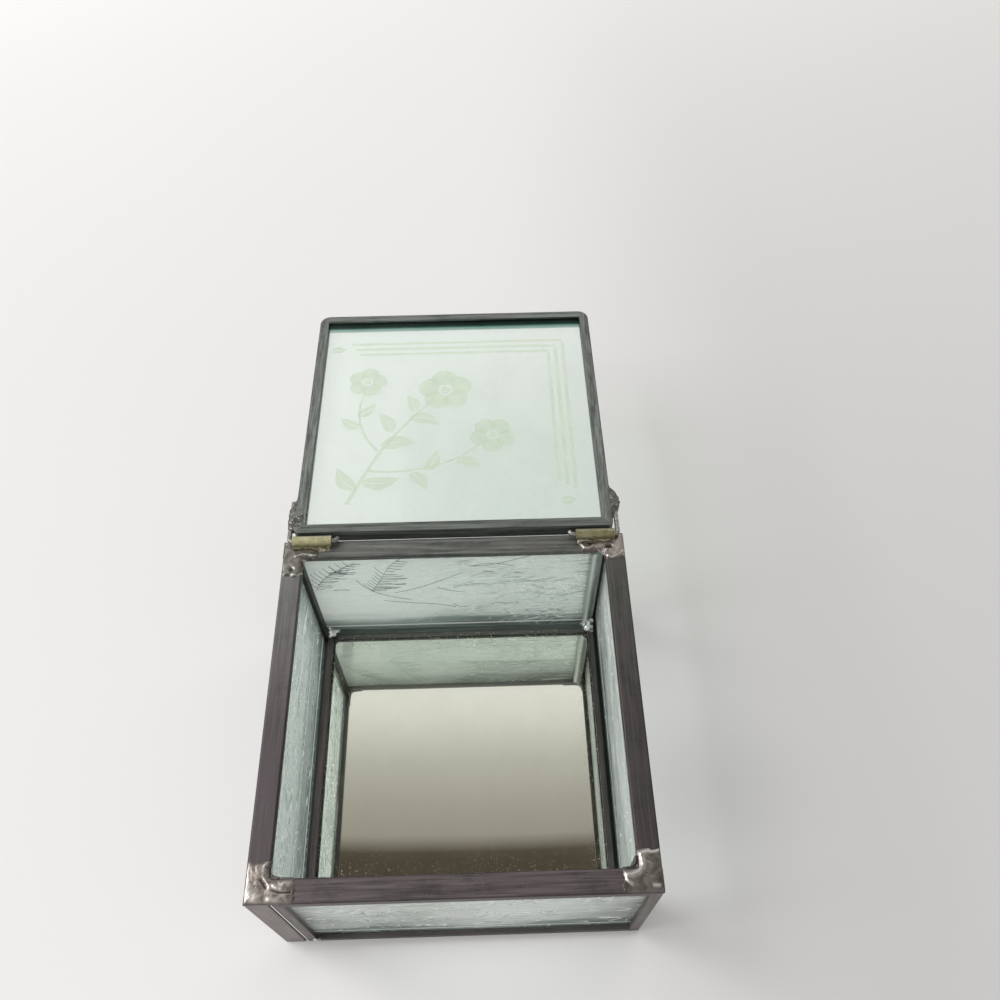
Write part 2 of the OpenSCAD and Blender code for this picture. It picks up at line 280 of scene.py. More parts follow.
def wire_metal():
    m = Mat("tinned_wire")
    run = m.grain(1.2, 3.0, 0.6)
    tint = m.ramp(run, (0.35, (0.15, 0.145, 0.135)), (0.65, (0.38, 0.37, 0.35)))
    rough = m.ramp(run, (0.3, 0.28), (0.7, 0.45))
    return m.finish_metal(tint, 0.9, rough, m.bump(run, 0.3, 0.0001))


def clear_for_shadows(m, glass, tint):
    """Glass that lets lamp light and bounced light straight through."""
    path = m.node("LightPath", out=None)
    soft = m.larger(path.outputs["Is Shadow Ray"], path.outputs["Is Diffuse Ray"])
    thru = m.bsdf("Transparent", tint)
    return m.blend(soft, glass, thru)


def textured_glass(name, along, shift, rows, milky, light, dark, milk_tone, calm=None, seam_at=6.2):
    """Sheet glass pressed with wavy lines that fan out and cross, about rows of them over the sheet.

    The shift picks another stretch of the pattern. Milky is how cloudy the sheet is, light and dark are the
    strength of its lines and grooves. Left of calm, an x in mm, the sheet is smoother, and cloudier as a
    painted reflection. The light seam along its foot lies at a height in mm, and the glass darkens to green
    towards its foot as painted shade.
    """
    m = Mat(name)
    axis = "XYZ".index(along)
    here = m.here()
    up = m.times(here[2], 1 / MM)
    place = (shift, shift * 1.7, shift * 0.6)

    def stretched(a, z):
        scale = [z, z, z]
        scale[axis] = a
        return m.coords(scale, place)

    sway = m.noise(stretched(0.05, 0.09), 2.0, 0.5, out=1)

    def swayed(a, z, amount):
        moved = m.node("VectorMath", {0: sway, 1: (amount, amount, amount)}, operation="MULTIPLY")
        return m.node("VectorMath", {0: stretched(a, z), 1: moved}, operation="ADD")

    def wires(field, count, thick):
        """Thin lines where the field passes each of count levels."""
        off = m.absolute(m.minus(m.math("FRACT", m.times(field, count)), 0.5))
        return m.ramp(off, (0.0, 1.0), (thick * 0.5, 0.4), (thick, 0.0))

    flow = m.noise(swayed(0.011, 0.075, 0.22), 1.0, 0.4)
    cross = m.noise(swayed(0.026, 0.080, 0.45), 1.2, 0.45, 0.3)
    blur = m.noise(swayed(0.09, 0.5, 2.0), 3.0, 0.6)
    fade_line = m.ramp(m.noise(stretched(0.05, 0.13), 2.0, 0.5), (0.42, 0.12), (0.60, 1.0))
    fade_cross = m.ramp(m.noise(swayed(0.06, 0.16, 3.0), 2.0, 0.5), (0.44, 0.0), (0.60, 1.0))
    patch = m.ramp(m.noise(stretched(0.03, 0.07), 3.0, 0.55), (0.36, 0.0), (0.64, 1.0))
    busy = 1.0
    if calm is not None:
        busy = m.line(m.line(here[0], 55.0, -calm * 0.055, True), 0.8, 0.2)
    line = m.times(m.times(wires(flow, rows * 2.2, 0.13), fade_line), busy)
    crossed = m.times(m.times(wires(cross, rows * 1.1, 0.09), fade_cross), busy)
    groove = m.times(wires(m.plus(flow, 0.16 / rows), rows * 2.2, 0.16), fade_cross)
    groove = m.times(m.larger(groove, m.ramp(blur, (0.58, 0.0), (0.74, 0.7))), busy)
    height = m.plus(m.times(line, 0.35), m.times(crossed, 0.35))
    height = m.plus(height, m.times(blur, m.times(busy, 0.8)))
    normal = m.bump(height, 0.4, 0.0010)
    # Painted shade: the glass darkens to green towards its foot.
    foot = m.ramp(m.times(m.line(m.minus(cross, 0.5), 22.0, up), 0.1), (0.55, 0.72), (1.25, 0.0))
    seam = m.ramp(m.absolute(m.minus(up, seam_at)), (0.35, 1.0), (0.6, 0.0))
    haze = m.plus(m.times(m.plus(line, crossed), light), m.line(patch, milky * 0.8, milky * 0.6))
    # Left of calm the sheet is made cloudier, a painted reflection that lightens it.
    if calm is not None:
        haze = m.plus(haze, m.line(busy, -0.32, 0.32))
    haze = m.larger(haze, m.times(seam, 0.9), True)
    tint = m.mix(blur, rgb(248, 253, 251), rgb(253, 255, 254))
    tint = m.mix(m.times(groove, dark), tint, rgb(112, 136, 126))
    tint = m.mix(foot, tint, rgb(112, 140, 128))
    milk_tone = m.mix(m.times(groove, dark), milk_tone, rgb(126, 148, 140))
    milk_tone = m.mix(m.times(foot, 0.8), milk_tone, rgb(126, 150, 140))
    milk_tone = m.mix(m.larger(m.times(m.larger(line, crossed), 0.9), seam), milk_tone, rgb(250, 252, 251))
    glass = m.bsdf("Glass", tint, Roughness=0.03, IOR=GLASS_IOR, Normal=normal)
    thru = m.bsdf("Transparent", tint)
    clear = m.blend(0.6, glass, thru)
    milk = m.bsdf("Diffuse", milk_tone, Normal=normal)
    glow = m.bsdf("Translucent", milk_tone, Normal=normal)
    cloudy = m.blend(0.5, milk, glow)
    body = m.blend(haze, clear, cloudy)
    return m.finish(clear_for_shadows(m, body, rgb(250, 253, 252)))


def lid_pane():
    """Clear glass with green edges, a painted shade along its far edge, faint smears, a few specks of dust
    and a whiter film towards the left as painted reflection.
    """
    m = Mat("lid_glass_clear")
    here = m.here()
    smear = m.grain((0.04, 0.025, 0.04), 4.0, 0.6, 1.2)
    dust = m.grain(1.4, 2.0, 0.5)
    face = m.math("GREATER_THAN", m.absolute(m.split(m.node("NewGeometry", out=3))[2]), 0.7)
    tint = m.mix(face, rgb(150, 196, 176), rgb(250, 254, 252))
    shaded_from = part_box("lid_glass")[1].y - 5.2 * MM
    # Painted shade: the glass turns dark teal along its far edge, under the channel.
    rim = m.ramp(m.times(m.minus(here[1], shaded_from), 400.0), (0.0, 0.0), (0.18, 0.75), (0.55, 1.0))
    tint = m.mix(rim, tint, rgb(96, 150, 136))
    film = m.plus(m.ramp(smear, (0.4, 0.03), (0.7, 0.12)), m.ramp(dust, (0.74, 0.0), (0.8, 0.25)))
    # Painted reflection: the film grows whiter towards the left.
    film = m.plus(film, m.line(here[0], -1.1, 0.02, True))
    film = m.times(film, m.minus(1.0, m.times(rim, 0.9)))
    glass = m.bsdf("Glass", tint, Roughness=0.0, IOR=GLASS_IOR)
    bloom = m.bsdf("Diffuse", rgb(240, 248, 242))
    body = m.blend(film, glass, bloom)
    return m.finish(clear_for_shadows(m, body, rgb(247, 252, 249)))


def mirror_top():
    """The mirror's clear face, with dust that gathers towards the edges, most of all at the front."""
    m = Mat("mirror_face")
    here = m.here()
    out = m.larger(m.absolute(here[0]), m.absolute(here[1]))
    rim = m.times(m.minus(out, 0.036, True), 120.0, True)
    aside = m.times(m.absolute(here[0]), 22.0, True)
    front = m.times(m.minus(-0.026, here[1], True), 60.0, True)
    front = m.times(front, m.line(aside, 0.7, 0.3))
    sparse = m.grain(0.13, 3.0, 0.6)
    dusty = m.plus(m.larger(rim, front), m.ramp(sparse, (0.5, 0.0), (0.7, 0.08)))
    cells = m.node("TexVoronoi", {"Vector": m.coords((1.25, 1.25, 1.25)), "Scale": 1.0}, out=None)
    chance = m.split(cells.outputs[1])[0]
    speck = m.ramp(cells.outputs[0], (0.18, 1.0), (0.30, 0.0))
    speck = m.times(speck, m.ramp(chance, (0.35, 0.0), (0.75, 1.0)))
    film = m.ramp(sparse, (0.35, 0.006), (0.75, 0.03))
    glass = m.bsdf("Glass", rgb(250, 252, 250), Roughness=0.0, IOR=GLASS_IOR)
    dust = m.bsdf("Diffuse", rgb(214, 206, 180))
    return m.finish(m.blend(m.plus(m.times(speck, dusty), film, True), glass, dust))


def mirror_silver():
    """Silvering on the mirror's underside, warm with age."""
    m = Mat("mirror_silver")
    tone = m.mix(m.grain(0.05, 4.0, 0.6), (0.86, 0.845, 0.80), (0.93, 0.92, 0.89))
    return m.finish(m.bsdf("Glossy", tone, Roughness=0.012))


def mirror_edge():
    """The cut edge of the mirror glass, dark green in the shade of its channel."""
    m = Mat("mirror_edge")
    grit = m.grain(2.0, 3.0, 0.65)
    tint = m.ramp(grit, (0.5, (0.012, 0.016, 0.012)), (0.62, (0.04, 0.05, 0.04)), (0.72, (0.35, 0.36, 0.30)))
    return m.finish(m.node("BsdfPrincipled", {"Base Color": tint, "Roughness": 0.4}))


def etched_frost():
    """Sand-etched glass: a pale mint frost with a fine grain."""
    m = Mat("etched_frost")
    grain = m.grain(3.0, 3.0, 0.6)
    cloud = m.grain(0.08, 3.0, 0.6)
    tint = m.mix(cloud, rgb(226, 234, 217), rgb(244, 247, 231))
    frost = m.bsdf("Diffuse", tint, Roughness=0.5, Normal=m.bump(grain, 0.4, 0.00005))
    glow = m.bsdf("Translucent", tint)
    body = m.blend(0.4, frost, glow)
    thru = m.bsdf("Transparent", rgb(240, 247, 240))
    cover = m.ramp(m.plus(m.times(grain, 0.4), m.times(cloud, 0.6)), (0.3, 0.36), (0.7, 0.62))
    return m.finish(m.blend(cover, thru, body))


def chip_line():
    """Fine ridges of the pressed fern strokes, dark on their upper flank as painted shade."""
    m = Mat("pressed_ridge")
    run = m.grain(0.8, 3.0, 0.6)
    tint = m.ramp(run, (0.35, (0.06, 0.08, 0.07)), (0.65, (0.17, 0.20, 0.185)))
    ridge = m.node("BsdfPrincipled", {"Base Color": tint, "Roughness": 0.25, "IOR": GLASS_IOR})
    thru = m.bsdf("Transparent", rgb(244, 250, 247))
    # Painted shade: the dark ridge shows mostly on the flank that faces up.
    upper = m.ramp(m.line(m.facing()[2], 0.5, 0.5), (0.40, 0.12), (0.56, 1.0))
    cover = m.times(upper, m.ramp(run, (0.35, 0.8), (0.7, 0.35)))
    return m.finish(m.blend(cover, thru, ridge))


def middle_of(node):
    """The middle of a node's box."""
    low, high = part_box(node)
    return (low + high) / 2


def rail(wall, along, tone, **look):
    return channel_metal("channel_%s_rim" % wall, along, tone, **look)


# Painted light and shade: each rail's lead takes its own tone by the side of the box it lies on, and the
# left and right rails grow lighter towards the back.
RAILS = {
    "front": rail("front", "X", (0.097, 0.084, 0.086), brush=1.5),
    "back": rail("back", "X", (0.130, 0.139, 0.128), brush=2.0),
    "left": rail("left", "Y", (0.077, 0.069, 0.072), brush=0.7, far_tone=(0.150, 0.152, 0.144)),
    "right": rail("right", "Y", (0.064, 0.059, 0.058), far_tone=(0.083, 0.086, 0.079)),
}
FOOT_TONE = (0.080, 0.072, 0.073)
FOOT_X = channel_metal("channel_along_x", "X", FOOT_TONE)
FOOT_Y = channel_metal("channel_along_y", "Y", FOOT_TONE)
UPRIGHT = channel_metal("channel_along_z", "Z", (0.20, 0.18, 0.17), brush=1.3)
# Painted highlight: a glint runs beside the joint on the front uprights.
BROWN_UPRIGHT = channel_metal("channel_brown_upright", "Z", (0.125, 0.114, 0.106), brush=2.2,
                              glint=(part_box("front_left_came")[0].x + 0.5 * MM, 0.25))
# Painted highlight: the inner faces of the back right upright are paler and greener, with a wide bright band
# near their edge.
HIGHLIT_UPRIGHT = channel_metal("channel_highlit_upright", "Z", (0.24, 0.28, 0.25), brush=1.6,
                             glint=(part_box("back_right_came")[0].x + 0.7 * MM, 1.0))
# Painted shade: the other uprights' inner faces are near black.
SHADED_UPRIGHT = channel_metal("channel_shaded_upright", "Z", (0.016, 0.021, 0.018))
# Painted light: the back foot channel is pale green on its inner and level faces. Painted shade: the side
# foot channels are near black there.
LIT_SILL = channel_metal("channel_lit_sill", "X", (0.25, 0.27, 0.252), brush=2.0)
SHADED_SILL = channel_metal("channel_shaded_sill", "Y", (0.022, 0.026, 0.023))
# Painted light: the floor channel's right and back stretches take lighter tones.
FLOOR_LEAD = channel_metal("channel_floor", "bent", (0.046, 0.039, 0.037), brush=1.4,
                           right_tone=(0.062, 0.062, 0.058), back_tone=(0.070, 0.086, 0.077))
# Both lid channels take a strong painted shade on their rounded edges.
LID_BENT = channel_metal("channel_bent", "bent", (0.148, 0.163, 0.150), edge_shade=0.8, brush=2.4,
                         middle=middle_of("lid_came").y)
LID_STRAIGHT = channel_metal("channel_lid_x", "X", (0.120, 0.137, 0.124), edge_shade=0.8, brush=2.0)
SOLDER = solder_metal("solder_film", (0.37, 0.33, 0.305), (0.27, 0.238, 0.22), "film",
                      (0.13, 0.114, 0.11), 0.2)
DULL_SOLDER = solder_metal("solder_dull", (0.235, 0.222, 0.205), (0.15, 0.138, 0.128), "film",
                           (0.10, 0.092, 0.086), 0.25)
ARM_SOLDER = solder_metal("solder_arm", (0.17, 0.168, 0.158), (0.06, 0.06, 0.054), cracks=0.95)
BEAD_SOLDER = solder_metal("solder_bead", (0.80, 0.81, 0.79), (0.10, 0.11, 0.105), swell=1.0)
TUBE_SOLDER = solder_metal("solder_tube", (0.36, 0.34, 0.29), (0.17, 0.155, 0.12), "brass",
                           (0.22, 0.20, 0.10), 0.4)
FROST = etched_frost()
RIDGE = chip_line()


def dress(node, material):
    slots = NODES[node].data.materials
    slots.clear()
    slots.append(material)


def dress_inside(node, material):
    """Another tone for the faces that look into the box."""
    inner_side = 47.5 * MM
    mesh = NODES[node].data
    mesh.materials.append(material)
    for face in mesh.polygons:
        at = face.center
        inward = face.normal.x * at.x + face.normal.y * at.y < -1e-5
        level = abs(face.normal.z) > 0.7 and max(abs(at.x), abs(at.y)) < inner_side
        if inward or level:
            face.material_index = 1


def dress_channel():
    for wall in ("front", "back", "left", "right"):
        dress(wall + "_top_came", RAILS[wall])
        dress(wall + "_bottom_came", FOOT_X if wall in ("front", "back") else FOOT_Y)
    for node in ("front_left_came", "front_right_came"):
        dress(node, BROWN_UPRIGHT)
    for end in ("left_front", "left_back", "right_front", "right_back", "back_left", "back_right"):
        dress(end + "_came", UPRIGHT)
        # Inner faces take a painted highlight on the back right upright and painted shade on the others.
        dress_inside(end + "_came", HIGHLIT_UPRIGHT if end == "back_right" else SHADED_UPRIGHT)
    # The foot channels' inner and level faces: painted light at the back, painted shade at the sides.
    dress_inside("back_bottom_came", LIT_SILL)
    dress_inside("left_bottom_came", SHADED_SILL)
    dress_inside("right_bottom_came", SHADED_SILL)
    dress("floor_came", FLOOR_LEAD)
    dress("lid_came", LID_BENT)
    dress("lid_back_came", LID_STRAIGHT)


def dress_glass():
    dress("front_glass", textured_glass("front_streaks", "X", 3.1, 17, 0.50, 0.7, 0.6, rgb(243, 245, 243)))
    dress("back_glass", textured_glass("back_streaks", "X", 10.8, 18, 0.26, 0.7, 0.55, rgb(240, 247, 242),
                                       calm=-12.0, seam_at=4.9))
    dress("left_glass", textured_glass("left_streaks", "Y", 18.5, 26, 0.30, 0.85, 0.85, rgb(190, 206, 199)))
    dress("right_glass", textured_glass("right_streaks", "Y", 26.2, 20, 0.44, 0.85, 0.6, rgb(240, 248, 244)))
    dress("lid_glass", lid_pane())


def dress_mirror():
    """Clear glass on top, silver underneath and a dark edge."""
    dress("floor_mirror", mirror_top())
    mirror = NODES["floor_mirror"].data
    mirror.materials.append(mirror_silver())
    mirror.materials.append(mirror_edge())
    for face in mirror.polygons:
        face.material_index = 0 if face.normal.z > 0.5 else 1 if face.normal.z < -0.5 else 2


def dress_hinges():
    dress("left_tube", tube_metal("tube_pale_brass", 1.55))
    dress("right_tube", tube_metal("tube_brass", 0.92))
    wire = wire_metal()
    dress("left_wire", wire)
    dress("right_wire", wire)


dress_channel()
dress_glass()
dress_mirror()
dress_hinges()


# Shapes

SIDE = {-1: "left", 1: "right"}
# Sizes in mm, as the CAD model has them
RIM = round(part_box("front_top_came")[1].z / MM, 2)
HALF = round(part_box("right_top_came")[1].x / MM, 2)
RAIL = round(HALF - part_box("right_top_came")[0].x / MM, 2)
RAIL_ROUND = 0.6
# How high solder may stand on the rim under the closed lid
LID_CLEAR = 0.5


def new_object(name, verts, faces, material):
    mesh = bpy.data.meshes.new(name)
    mesh.from_pydata([tuple(v) for v in verts], [], [tuple(f) for f in faces])
    mesh.update()
    mesh.materials.append(material)
    o = bpy.data.objects.new(name, mesh)
    bpy.context.scene.collection.objects.link(o)
    return o


def smooth(o):
    o.data.polygons.foreach_set("use_smooth", [True] * len(o.data.polygons))
    o.data.update()


def paint(o, field, values):
    """Puts a number on each point of the mesh, for the material to read."""
    points = o.data.attributes.new(field, "FLOAT", "POINT")
    points.data.foreach_set("value", [float(v) for v in values])


def thicken(o, depth):
    """Gives a sheet a thickness in mm under its face, and smooth shading."""
    shell = o.modifiers.new("shell", "SOLIDIFY")
    shell.thickness = depth * MM
    shell.offset = -1
    smooth(o)


def grid_faces(rows, columns):
    """Faces over a grid of points, where each row has one point more than columns."""
    row = columns + 1
    corners = [i * row + j for i in range(rows) for j in range(columns)]
    return [(a, a + row, a + row + 1, a + 1) for a in corners]


def lump(name, balls, voxel, shape, rounds):
    """Runs flattened balls together into one smooth lump. Sizes in mm; a ball is (centre, radii)."""
    bm = bmesh.new()
    for centre, radii in balls:
        made = bmesh.ops.create_icosphere(bm, subdivisions=3, radius=1.0)
        place = Matrix.Translation(Vector(centre) * MM)
        flatten = Matrix.Diagonal((*(r * MM for r in radii), 1))
        bmesh.ops.transform(bm, verts=made["verts"], matrix=place @ flatten)
    mesh = bpy.data.meshes.new(name)
    bm.to_mesh(mesh)
    bm.free()
    o = bpy.data.objects.new(name, mesh)
    bpy.context.scene.collection.objects.link(o)
    run = o.modifiers.new("run", "REMESH")
    run.mode = "VOXEL"
    run.voxel_size = voxel * MM
    soft = o.modifiers.new("soft", "SMOOTH")
    soft.factor = 0.6
    soft.iterations = rounds
    made = bpy.data.meshes.new_from_object(o.evaluated_get(bpy.context.evaluated_depsgraph_get()))
    o.modifiers.clear()
    o.data = made
    points = np.empty(len(made.vertices) * 3)
    made.vertices.foreach_get("co", points)
    points = shape(points.reshape(-1, 3) / MM) * MM
    made.vertices.foreach_set("co", points.ravel())
    made.name = name
    made.materials.clear()
    made.materials.append(BEAD_SOLDER)
    smooth(o)
    return o


def ripple(p, size, amount, seed):
    """Uneven surface: moves points up and down by smooth noise, and half as far sideways."""
    out = p.copy()
    for i, q in enumerate(p):
        v = Vector((q[0] / size + seed, q[1] / size - seed, q[2] / size))
        out[i, 2] += amount * noise.noise(v)
        out[i, 0] += 0.5 * amount * noise.noise(v + Vector((9, 4, 2)))
        out[i, 1] += 0.5 * amount * noise.noise(v + Vector((3, 8, 5)))
    return out


def ramp_up(d, width):
    """Rises from 0 to 1 over a width and ends level."""
    return 1 - (1 - np.clip(d / width, 0, 1)) ** 2


def fuzz(u, v, size, seed):
    """Smooth noise over the plane, from -1 to 1."""
    points = zip(u.ravel() / size + seed, v.ravel() / size - seed)
    return np.array([noise.noise(Vector((a, b, 0.37 * seed))) for a, b in points]).reshape(u.shape)


def to_line(u, v, points):
    """Distance in the plane to a line through points."""
    best = np.full(u.shape, 1e9)
    for (a, b), (c, d) in zip(points, points[1:] + points[-1:]):
        lx, ly = c - a, d - b
        t = np.clip(((u - a) * lx + (v - b) * ly) / (lx * lx + ly * ly + 1e-9), 0, 1)
        best = np.minimum(best, np.hypot(u - a - t * lx, v - b - t * ly))
    return best


def rail_drop(u, v):
    """How far the rounded edges of the rails fall under the rim."""
    outer = np.minimum(u, v)
    inner = np.maximum(RAIL - u, RAIL - v)
    d = np.clip(np.minimum(outer, inner), 0, RAIL_ROUND)
    return RAIL_ROUND - np.sqrt(RAIL_ROUND ** 2 - (RAIL_ROUND - d) ** 2)


def corner_solder(name, sx, sy, reach_x, reach_y, thick, seed, metal, marks):
    """A film of solder run over a rim corner, with ridges and dents.

    u and v are measured in from the corner along X and Y. Each mark is a line of points with its width and
    its height over the film; a dent's height is below 0.
    """
    step = 0.2
    margin = 1.4
    soft = 2.6
    least = 0.02
    along_x, along_y = (np.arange(0, reach + margin, step) for reach in (reach_x, reach_y))
    u, v = np.meshgrid(along_x, along_y, indexing="ij")
    a, b = RAIL - u, RAIL - v
    blend = np.clip(soft - np.abs(a - b), 0, soft)
    inner = np.maximum(a, b) + blend * blend / (4 * soft)
    edge = fuzz(u, v, 1.6, seed)
    end = np.where(u > v, reach_x + 0.7 * edge - u, reach_y + 0.7 * edge - v)
    front = np.minimum(inner, end)
    film = ramp_up(np.minimum(u, v) + 0.5, 2.4) * ramp_up(front + 0.05, 1.5)
    height = thick * (1 + 0.18 * fuzz(u, v, 2.6, seed + 3)) + 0.008 * fuzz(u, v, 0.9, seed + 5)
    ridge, dent = np.zeros(u.shape), np.zeros(u.shape)
    for points, width, rise in marks:
        near = np.exp(-(to_line(u, v, points) / width) ** 2)
        height = height + rise * near
        if rise > 0:
            ridge = np.maximum(ridge, near * min(1.0, rise / 0.2))
        else:
            dent = np.maximum(dent, near)
    metal_top = RIM - np.where(inner > 0, rail_drop(u, v), 0.1)
    z = metal_top + np.clip(height * film, least, LID_CLEAR) - 0.05 * (film <= 0)
    keep = front > -0.3
    index, verts, faces = {}, [], []
    for i in range(u.shape[0] - 1):
        for j in range(u.shape[1] - 1):
            cell = ((i, j), (i + 1, j), (i + 1, j + 1), (i, j + 1))
            if not all(keep[c] for c in cell):
                continue
            for c in cell:
                if c not in index:
                    index[c] = len(verts)
                    verts.append((sx * (HALF - u[c]) * MM, sy * (HALF - v[c]) * MM, z[c] * MM))
            quad = [index[c] for c in cell]
            faces.append(quad if sx * sy > 0 else quad[::-1])
    o = new_object(name, verts, faces, metal)
    spread = ramp_up(front, 2.0) * (0.80 + 0.20 * edge) * (0.3 + 0.7 * ramp_up(np.minimum(u, v) - 0.1, 0.7))
    # The ridge field carries a painted highlight and the dent field painted shade, for the material to read.
    for field, values in (("film", spread), ("ridge", ridge), ("dent", dent)):
        paint(o, field, [values[c] for c in index])
    thicken(o, 0.12)
    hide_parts(name)
    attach(o, "box")


corner_solder("front_left_solder", -1, -1, 12.1, 10.0, 0.30, 1.3, SOLDER, [
    ([(0.8, 2.8), (3.2, 1.6)], 1.2, 0.19),
    ([(4.9, 9.2)], 0.7, 0.12),
    ([(6.3, 1.2), (8.4, 0.8)], 0.5, 0.12),
    ([(3.9, 5.6), (5.2, 4.0)], 0.5, -0.30),
    ([(6.9, 3.2), (8.3, 2.7), (10.1, 2.6), (11.4, 2.7)], 0.26, -0.24),
    ([(7.1, 4.4), (8.0, 3.7), (9.0, 3.4)], 0.35, 0.16),
    ([(9.6, 4.7), (11.4, 4.6)], 0.7, 0.10)])
corner_solder("front_right_solder", 1, -1, 9.6, 10.4, 0.20, 4.1, DULL_SOLDER, [
    ([(0.9, 9.9), (3.1, 9.7), (4.9, 9.2), (4.6, 7.6), (4.7, 6.0), (5.7, 5.0), (7.6, 4.3), (8.8, 4.1)],
     0.75, 0.22),
    ([(9.0, 3.4), (7.7, 2.0)], 0.4, 0.18),
    ([(2.4, 1.7), (1.2, 1.6)], 0.4, 0.2),
    ([(3.2, 6.6), (2.9, 6.0)], 0.5, 0.05)])
corner_solder("back_left_solder", -1, 1, 10.2, 12.1, 0.24, 2.2, DULL_SOLDER, [
    ([(2.7, 9.7)], 0.8, -0.6),
    ([(3.4, 11.2), (4.8, 11.7), (6.1, 11.0)], 0.3, 0.16),
    ([(3.8, 5.2), (5.9, 4.5), (9.5, 5.0)], 0.45, 0.16),
    ([(3.4, 8.0), (4.6, 8.6)], 1.5, 0.04),
    ([(6.2, 6.6), (7.0, 7.0)], 0.5, 0.25)])
corner_solder("back_right_solder", 1, 1, 13.0, 8.9, 0.24, 5.7, SOLDER, [
    ([(4.2, 4.4), (5.0, 4.5)], 0.6, -0.4),
    ([(7.8, 5.9), (6.0, 7.2), (4.1, 8.4), (2.3, 7.5), (0.6, 6.3)], 0.32, 0.24),
    ([(6.7, 6.2), (5.4, 5.5)], 0.45, 0.3),
    ([(13.3, 2.9), (11.8, 4.9), (10.7, 4.9), (9.1, 4.1)], 0.35, 0.2),
    ([(10.2, 3.3)], 0.5, -0.25)])


def tube_solder(side):
    """Solder drawn into the corner between a tube and the rail, with an uneven front."""
    name = "%s_tube_solder" % SIDE[side]
    low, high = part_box(name)
    x0, x1 = low.x / MM, high.x / MM
    y0, y1, z0 = low.y / MM, high.y / MM, low.z / MM
    steps, rows = 48, 12
    brassy = 1.0 if side < 0 else 0.35
    verts, tint = [], []
    for i in range(steps + 1):
        t = i / steps
        x = x0 + (x1 - x0) * t
        wob = 0.5 + 0.5 * noise.noise(Vector((x * 0.35, side * 3.0, 1.7)))
        inner = t if side < 0 else 1 - t
        tail = 1 - 0.6 * max(0.0, inner - 0.4) / 0.6
        front = y1 - 2.7 - (y1 - y0 - 2.7) * (0.45 + 0.55 * wob) * tail
        for j in range(rows + 1):
            s = j / rows
            y = front + (y1 - 1.2 - front) * s
            grain = noise.noise(Vector((x * 1.1, y * 1.1, side)))
            z = z0 + 0.01 + 0.98 * s ** 1.9 * (0.86 + 0.14 * wob) + 0.12 * grain * math.sin(math.pi * s)
            verts.append((x * MM, y * MM, max(z, z0) * MM))
            tint.append(min(1.0, 1.5 * s + 0.3 * grain) * brassy)
    o = new_object(name, verts, grid_faces(steps, rows), TUBE_SOLDER)
    paint(o, "brass", tint)
    thicken(o, 0.1)
    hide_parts(name)
    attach(o, "box")


tube_solder(-1)
tube_solder(1)


def lid_plane():
    """A point on the upper face of the open lid's glass, and its directions out from the hinge and up."""
    o = NODES["lid_glass"]
    upper = [f for f in o.data.polygons if f.normal.z > 0.9]
    up = max(upper, key=lambda f: f.area).normal.normalized()
    out = Vector((1, 0, 0)).cross(up) * -1
    if out.y < 0:
        out.negate()
    corners = {i for f in upper for i in f.vertices}
    near = min((o.data.vertices[i].co for i in corners), key=lambda c: c.dot(out))
    return Vector((0, near.y, near.z)), out, up


LID_AT, LID_OUT, LID_UP = lid_plane()
HINGE = middle_of("left_tube")
# Height of the hinge wire over the upper face of the lid glass, and its distance from the glass, in mm
WIRE_TO_GLASS = (Vector((0, HINGE.y, HINGE.z)) - LID_AT).dot(LID_UP) / MM
HINGE_TO_GLASS = (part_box("lid_glass")[0].y - HINGE.y) / MM
# How far the solder may stand over the wire, so that it clears the rim when the lid is closed
LIFT_MAX = 1.22


def on_lid(x, w, lift):
    """A point on the open lid; w is measured from the hinge-side edge of the glass. Sizes in mm."""
    p = LID_AT + (LID_OUT * w + LID_UP * lift) * MM
    return (x * MM, p.y, p.z)


def arm_solder(side, start, stop, width, cover, seed, rough, blunt):
    """Solder that runs from the wire arm onto the side of the lid, in a long drop.

    Start and stop are measured from the hinge, width is how far it stands out along the drop, and cover is
    how far it reaches over the lid. Rough is how lumpy it is, and blunt how full its near end is.
    """
    name = "%s_arm_solder" % SIDE[side]
    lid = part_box("lid_came")[1].x / MM
    steps, ring = 90, 30
    verts, faces = [], []
    for i in range(steps + 1):
        t = i / steps
        w = start + (stop - start) * t - HINGE_TO_GLASS
        swell = math.sin(math.pi * min(1, blunt + (1.05 - blunt) * t)) ** 0.55 if t < 0.98 else 0.12
        swell = min(swell, 0.3 + 18 * t)
        out = width(t) * max(swell, 0.1)
        half = 1.05 * max(swell, 0.12)
        for k in range(ring):
            a = 2 * math.pi * k / ring
            c, q = math.cos(a), math.sin(a)
            bulge = noise.noise(Vector((w * 0.9, 1.6 * c + seed, 1.6 * q)))
            crack = abs(noise.noise(Vector((w * 1.9, 2.6 * c, 2.6 * q + seed))))
            grow = 1 + rough * bulge - 0.9 * rough * max(0, 0.16 - crack)
            inward = cover * max(swell, 0.2) * (1 + 0.25 * bulge)
            x = lid + (out * grow * c ** 0.8 if c > 0 else -inward * abs(c) ** 0.7)
            flat = 1.0 if c > 0 else 0.45
            h = min(0.1 + half * grow * math.copysign(abs(q) ** flat, q), LIFT_MAX)
            verts.append(on_lid(side * x, w, h + WIRE_TO_GLASS))
    for i in range(steps):
        for k in range(ring):
            a, b = i * ring + k, i * ring + (k + 1) % ring
            faces.append((a, b, b + ring, a + ring) if side > 0 else (a, a + ring, b + ring, b))
    first, last = list(range(ring)), list(range(steps * ring, (steps + 1) * ring))
    faces.append(first if side < 0 else first[::-1])
    faces.append(last[::-1] if side < 0 else last)
    o = new_object(name, verts, faces, ARM_SOLDER)
    smooth(o)
    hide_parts(name)
    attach(o, "lid")


arm_solder(-1, 3.0, 16.1, lambda t: 1.9 + 0.4 * t,
           cover=3.2, seed=2.0, rough=0.22, blunt=0.22)
arm_solder(1, 5.6, 17.8, lambda t: 2.1 + 0.6 * math.sin(math.pi * t),
           cover=0.7, seed=7.0, rough=0.14, blunt=0.03)


